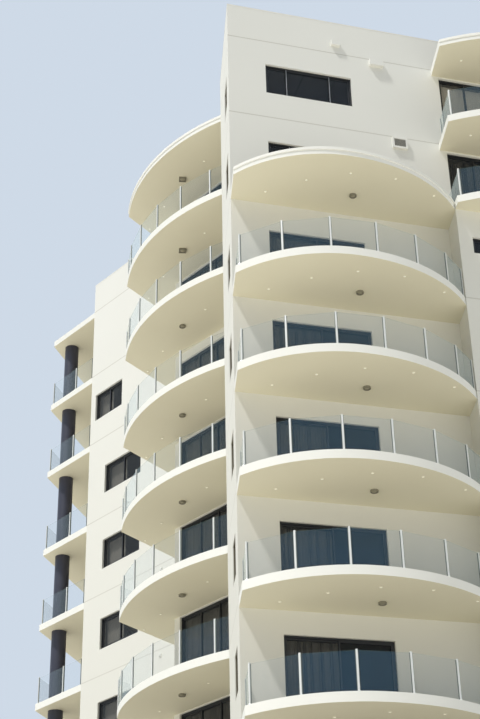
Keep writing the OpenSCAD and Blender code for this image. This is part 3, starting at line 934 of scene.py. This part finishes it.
def lamp_rim(width, height, square):
    """A round or square rim under the origin, hollow below."""
    turned, reach = (math.pi / 4, math.cos(math.pi / 4)) if square else (0, 1)
    deselect()
    bpy.ops.mesh.primitive_cylinder_add(
        vertices=4 if square else ROUND_SIDES,
        radius=width / 2 / reach,
        depth=height,
        location=(0, 0, -height / 2),
        rotation=(0, 0, turned))
    apply_place()
    piece = bpy.context.object
    with editing(piece):
        pick_faces(piece, lambda centre, normal: normal.z < -FACING)
        bpy.ops.mesh.inset(thickness=min(RIM, width * RIM_SHARE))
        upwards = (0, 0, height * HOLLOW_SHARE)
        bpy.ops.mesh.extrude_region_move(TRANSFORM_OT_translate={"value": upwards})
    bevel(piece, height * EDGE_SHARE, 2)
    return piece


def lamp_dome(width, height, square):
    """An opal dome inside the rim, flat at its upper side."""
    radius, drop = width * DOME_SHARE, height * DROP_SHARE
    deselect()
    bpy.ops.mesh.primitive_uv_sphere_add(
        segments=SQUARE_DOME_SIDES if square else ROUND_SIDES,
        ring_count=DOME_RINGS,
        radius=radius,
        location=(0, 0, -drop),
        rotation=(0, 0, math.pi / 4 if square else 0))
    piece = bpy.context.object
    piece.scale = (1, 1, drop / radius)
    apply_place()
    with editing(piece):
        cut = {"plane_co": (0, 0, -drop), "plane_no": (0, 0, 1)}
        bpy.ops.mesh.bisect(use_fill=True, clear_outer=True, **cut)
    bpy.ops.object.shade_smooth()
    return piece


# %% [markdown]
# ## Hanging the lamps
# The CAD solids give each lamp's kind, size and place, and the new rims then stand for them. A
# downlight is the flattest kind. A square lamp is a plain box, and its turn is the direction of
# one of its sides.

# %% Read the lamps and hang them
SPOT_LIMIT = 0.03


def lamp_kind(points):
    if points[:, 2].max() - points[:, 2].min() < SPOT_LIMIT:
        return "spot"
    return "square" if len(points) == BOX_POINTS else "round"


def lamp_place(points, square):
    """The place of a lamp under its soffit, turned as its solid is."""
    low, high = Vector(points.min(0)), Vector(points.max(0))
    spin = 0.0
    if square:
        edge = max(points, key=lambda p: p[0]) - max(points, key=lambda p: p[1])
        spin = math.atan2(edge[1], edge[0])
    top = Vector(((low.x + high.x) / 2, (low.y + high.y) / 2, high.z))
    return Matrix.Translation(top) @ Matrix.Rotation(spin, 4, "Z")


lamps = {"round": [], "square": [], "spot": []}
for points in solids("ceiling_lamps"):
    lamps[lamp_kind(points)].append(points)

rims, domes = {}, {}
for kind, group in lamps.items():
    square = kind == "square"
    sample = group[0]
    width = Panel(sample).width if square else float(np.ptp(sample[:, 0]))
    height = float(np.ptp(sample[:, 2]))
    places = [lamp_place(points, square) for points in group]
    rims[kind] = repeat(lamp_rim(width, height, square), places, "rims")
    domes[kind] = repeat(lamp_dome(width, height, square), places, "domes")
print({kind: len(group) for kind, group in lamps.items()})

# %% [markdown]
# ## Lamp finishes
# The domes are opal plastic, hazy with dust, and the lamps are off. The lenses of the downlights
# glow a little, which shows them as small light dots. The rims of the lamps are grey, and those
# of the downlights take the warmer tone of the soffits, the same painted shade.

# %% Opal plastic and painted rims


def opal_finish(name, clean, glow):
    finish = Finish(name)
    haze = finish.noise(60, detail=2)
    colour = finish.mix(clean, paint(186, 180, 160), finish.between(haze, 0, 0.4))
    settings = {"Emission_Color": paint(255, 246, 226), "Emission_Strength": glow}
    return finish.surface(Base_Color=colour, Roughness=finish.between(haze, 0.3, 0.4), **settings)


rim_coat = coated_finish("rim_coat", paint(124, 121, 104), paint(140, 136, 120), 0.5)
# The downlights' rims take the soffits' warmer tone, the same painted shade.
spot_coat_soffit_shade = coated_finish("spot_coat_soffit_shade", paint(230, 226, 208), paint(218, 213, 194), 0.5)
opal = opal_finish("opal_dome", paint(158, 152, 130), 0.0)
lens = opal_finish("spot_lens", paint(240, 236, 218), 0.42)
lamp_rims = mounted(join([rims["round"], rims["square"]], "lamp_rims"), rim_coat)
spot_rims = mounted(join([rims["spot"]], "spot_rims"), spot_coat_soffit_shade)
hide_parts("ceiling_lamps")
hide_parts("ceiling_lamps")
mounted(join([domes["round"], domes["square"]], "lamp_domes"), opal)
mounted(join([domes["spot"]], "spot_lenses"), lens)

# %% [markdown]
# ## Grilles
# Each vent box on the front has louvre blades in its recess, and each small vent of the flanks
# has slats. One tilted blade is beveled, and an Array modifier stacks it, which is how a
# louvre is put together too.

# %% Louvre blades
BLADE_PITCH, BLADE_THICKNESS = 0.035, 0.004
BLADE_TILT = math.radians(35)


def louvre(width, height, depth):
    """Blades between the jambs of a grille, from the origin up, facing along -Y."""
    blade = block((-width / 2, -depth / 2, 0), (width / 2, depth / 2, BLADE_THICKNESS))
    with editing(blade):
        middle = (0, 0, BLADE_THICKNESS / 2)
        bpy.ops.transform.rotate(value=BLADE_TILT, orient_axis="X", center_override=middle)
    bevel(blade, FINE_EDGE)
    count = max(2, int(height / BLADE_PITCH))
    stacked = {"use_relative_offset": False, "use_constant_offset": True}
    modify(blade, "ARRAY", count=count, constant_offset_displace=(0, 0, height / count), **stacked)
    return blade


# %% [markdown]
# ## Where the grilles go
# Of the small boxes on the walls, only the vent boxes aren't plain, and their grilles sit in
# their recesses, inside the rims. A small vent is a plate of little depth and height, and its
# slats stand before its face.

# %% Grilles in the vents
VENT_RIM, VENT_RECESS, VENT_SILL = 0.06, 0.03, 0.008
SMALL_DEPTH, SMALL_HEIGHT = 0.06, 0.15
SLAT_DEPTH, SLAT_SHARE, SLAT_FOOT = 0.014, 0.76, 0.14

grilles = []
for points in solids("wall_boxes"):
    if len(points) == BOX_POINTS:
        continue
    low, high = points.min(0), points.max(0)
    width, height = high[0] - low[0] - 2 * VENT_RIM, high[2] - low[2] - 2 * VENT_RIM
    foot = ((low[0] + high[0]) / 2, low[1] + VENT_RECESS / 2, low[2] + VENT_RIM + VENT_SILL)
    grilles.append(repeat(louvre(width, height, VENT_RECESS), [Matrix.Translation(foot)], "grille"))
for panel in panels("wall_boxes"):
    if panel.thickness > SMALL_DEPTH or panel.height > SMALL_HEIGHT:
        continue
    side = panel.width * SLAT_SHARE
    foot = (0, -panel.thickness / 2, panel.width * SLAT_FOOT)
    place = panel.place() @ Matrix.Translation(foot)
    grilles.append(repeat(louvre(side, side, SLAT_DEPTH), [place], "grille"))
grille_coat = coated_finish("grille_coat", paint(150, 150, 146), paint(128, 128, 124), 0.55)
mounted(join(grilles, "vent_grilles"), grille_coat)

# %% [markdown]
# ## Wall cappings
# A folded metal capping keeps the rain out of the tops of the walls. It follows every fold of
# the plan, so it is taken from the walls themselves: copies of their top faces are merged to
# one ring, given a depth, and fattened by a few millimetres to all sides.

# %% Capping on the parapets
CAP_OVER, CAP_DEPTH, CAP_EDGE = 0.004, 0.04, 0.002
FLAT = math.radians(1)


def wall_tops():
    """One flat ring, from the top faces of all walls that reach the parapet."""
    copies = []
    for name in walls:
        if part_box(name)[1].z > wall_top - MERGE:
            copy = bpy.data.objects.new("top", nodes[name].data.copy())
            bpy.context.scene.collection.objects.link(copy)
            copies.append(copy)
    ring = join(copies, "wall_capping")
    with editing(ring):
        bpy.ops.mesh.remove_doubles(threshold=MERGE)
        pick_faces(ring, lambda centre, normal: centre.z < wall_top - MERGE or normal.z < FACING)
        bpy.ops.mesh.delete(type="FACE")
        bpy.ops.mesh.select_all(action="SELECT")
        bpy.ops.mesh.dissolve_limited(angle_limit=FLAT)
    return ring


capping = wall_tops()
modify(capping, "SOLIDIFY", thickness=CAP_DEPTH, offset=-1)
with editing(capping):
    bpy.ops.transform.shrink_fatten(value=CAP_OVER, use_even_offset=True)
bevel(capping, CAP_EDGE)
cap_coat = coated_finish("cap_coat", paint(236, 235, 228), paint(224, 222, 213), 0.5)
mounted(capping, cap_coat)

# %% [markdown]
# ## Post feet
# Each post stands on the slab in a small square base plate. The plate is a block with its upper
# edges drawn in, so that water runs off.

# %% Base plates
PLATE, PLATE_HEIGHT, PLATE_TOP = 0.076, 0.012, 0.9


def base_plate():
    """One plate that stands on the origin."""
    piece = block((-PLATE / 2, -PLATE / 2, 0), (PLATE / 2, PLATE / 2, PLATE_HEIGHT))
    with editing(piece):
        pick_faces(piece, lambda centre, normal: normal.z > FACING)
        bpy.ops.transform.resize(value=(PLATE_TOP, PLATE_TOP, 1))
    bevel(piece, FINE_EDGE)
    return piece


feet = [post.place() for post in panels(*posts)]
mounted(repeat(base_plate(), feet, "post_plates"), post_metal)

# %% [markdown]
# ## Rubber gaskets
# The glass panels don't touch the posts. Each upright edge of the glass sits in a rubber
# channel that grips it and fills the gap, which shows as a thin line beside each post. Its mid
# grey is partly the rubber and partly painted shade, for the shaded sides of the posts. The
# channel is a block whose side towards the glass is inset and pushed in to make the groove.

# %% Gaskets on the glass edges
GASKET_OVER, GASKET_GAP, GASKET_LIP = 0.009, 0.0045, 0.004
GROOVE_LIP, GROOVE_DEPTH = 0.9, 0.8


def gasket(glass, height):
    """A channel along the left edge of a panel, with its groove towards local X."""
    half = glass / 2 + GASKET_LIP
    piece = block((-GASKET_GAP, -half, 0), (GASKET_OVER, half, height))
    with editing(piece):
        pick_faces(piece, lambda centre, normal: normal.x > FACING)
        bpy.ops.mesh.inset(thickness=GASKET_LIP * GROOVE_LIP)
        inwards = (-GASKET_OVER * GROOVE_DEPTH, 0, 0)
        bpy.ops.mesh.extrude_region_move(TRANSFORM_OT_translate={"value": inwards})
    return piece


glazing = panels(*rails)
half_turn = Matrix.Rotation(math.pi, 4, "Z")
edges = []
for panel in glazing:
    edges.append(panel.place(-panel.width / 2))
    edges.append(panel.place(panel.width / 2) @ half_turn)
# The mid grey is partly the rubber and partly painted shade of the posts' sides.
rubber_and_post_shade = coated_finish("gasket_rubber_and_post_shade", paint(112, 120, 116), paint(132, 138, 134), 0.7)
gaskets = repeat(gasket(glazing[0].thickness, glazing[0].height), edges, "glass_gaskets")
mounted(gaskets, rubber_and_post_shade)

# %% [markdown]
# ## The floor
# The stage is plain: a pale floor, a pale background and soft daylight. The soffits are lit
# only by what comes up from the ground. So the floor works like a light table: to the camera it
# is a pale matt surface, and to all other rays it glows softly. The glow is a ring: dim next to
# the building, whose shade lies there, brightest some forty metres out, and dim again far away.

# %% Floor
FLOOR_REACH, FLOOR_LEVEL = 900, -0.002
RING_REACH = 120
RING = ((0.15, 0.22), (0.31, 1.0), (0.42, 1.0), (0.8, 0.35))
FLOOR_GLOW = (1.0, 0.97, 0.87)
GLOW_STRENGTH = 1.56
BLACK = (0, 0, 0, 1)


def floor_finish():
    finish = Finish("floor")
    seen = finish.start.node("ShaderNodeLightPath", output="Is Camera Ray")
    pale = finish.mix((0.80, 0.81, 0.80, 1), (0.77, 0.78, 0.77, 1), finish.noise(2, detail=4))
    x, y = finish.at[:2]
    away = finish.start.math("SQRT", x * x + y * y) * (1 / RING_REACH)
    stops = [(place, (*(share * part for part in FLOOR_GLOW), 1)) for place, share in RING]
    ring = finish.start.node("ShaderNodeValToRGB", {"stops": stops}, {0: away})
    glow = {"Emission_Color": finish.mix(ring, BLACK, seen), "Emission_Strength": GLOW_STRENGTH}
    return finish.surface(Base_Color=finish.mix(BLACK, pale, seen), Roughness=0.9, **glow)


deselect()
bpy.ops.mesh.primitive_plane_add(size=FLOOR_REACH, location=(0, 0, FLOOR_LEVEL))
floor = bpy.context.object
floor.name = "floor"
floor.data.materials.append(floor_finish())
floor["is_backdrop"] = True
print("floor laid")

# %% [markdown]
# ## Daylight
# Camera, glossy and transmission rays see a plain pale backdrop. All others get the daylight
# that fills the shade, which is bluish and grows from the horizon upwards.

# %% Backdrop and daylight
BACKDROP = (0.62, 0.70, 0.80, 1)
DAYLIGHT = (0.82, 0.90, 1.0, 1)
HORIZON, GROWTH = 0.14, 0.85

world = bpy.data.worlds.new("world")
bpy.context.scene.world = world
world.use_nodes = True
world.node_tree.nodes.clear()
air = Wire(world.node_tree)
kinds = ("Camera", "Glossy", "Transmission")
paths = [air.node("ShaderNodeLightPath", output=f"Is {kind} Ray") for kind in kinds]
shown = paths[0].larger(paths[1]).larger(paths[2])
backdrop = air.node("ShaderNodeBackground", inputs={"Color": BACKDROP, "Strength": 1.0})
direction = air.node("ShaderNodeTexCoord", output="Generated")
rise = air.node("ShaderNodeSeparateXYZ", inputs={0: direction}, output=2).larger(0.0)
light = {"Color": DAYLIGHT, "Strength": rise * GROWTH + HORIZON}
fill = air.node("ShaderNodeBackground", inputs=light)
lit = air.node("ShaderNodeMixShader", inputs={0: shown, 1: fill, 2: backdrop})
air.node("ShaderNodeOutputWorld", inputs={"Surface": lit})
print("daylight ready")

# %% [markdown]
# ## The sun
# The sun stands high to the front left, as the shadows in the photograph say. It is a few
# degrees wide, which softens the edges of the shadows. The view transform is Standard, so that
# a paint comes out as it is written.

# %% Sun
SUN_TRAVEL = Vector((2.48, 1.0, -4.71))
SUN_COLOUR, SUN_STRENGTH = (1.0, 0.985, 0.96), 2.78
SUN_SPREAD = math.radians(4)

sun_data = bpy.data.lights.new("sun", "SUN")
sun_data.energy = SUN_STRENGTH
sun_data.color = SUN_COLOUR
sun_data.angle = SUN_SPREAD
sun = bpy.data.objects.new("sun", sun_data)
sun.rotation_euler = SUN_TRAVEL.to_track_quat("-Z", "Y").to_euler()
bpy.context.scene.collection.objects.link(sun)
bpy.context.scene.view_settings.view_transform = "Standard"
print("sun ready")

# %% Measure the CAD and dressed sizes
look_low, look_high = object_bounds()
sizes = {"cad": [list(cad_low), list(cad_high)], "visual": [list(look_low), list(look_high)]}
print("dressed", [round(v, 3) for v in look_high - look_low], "metres")
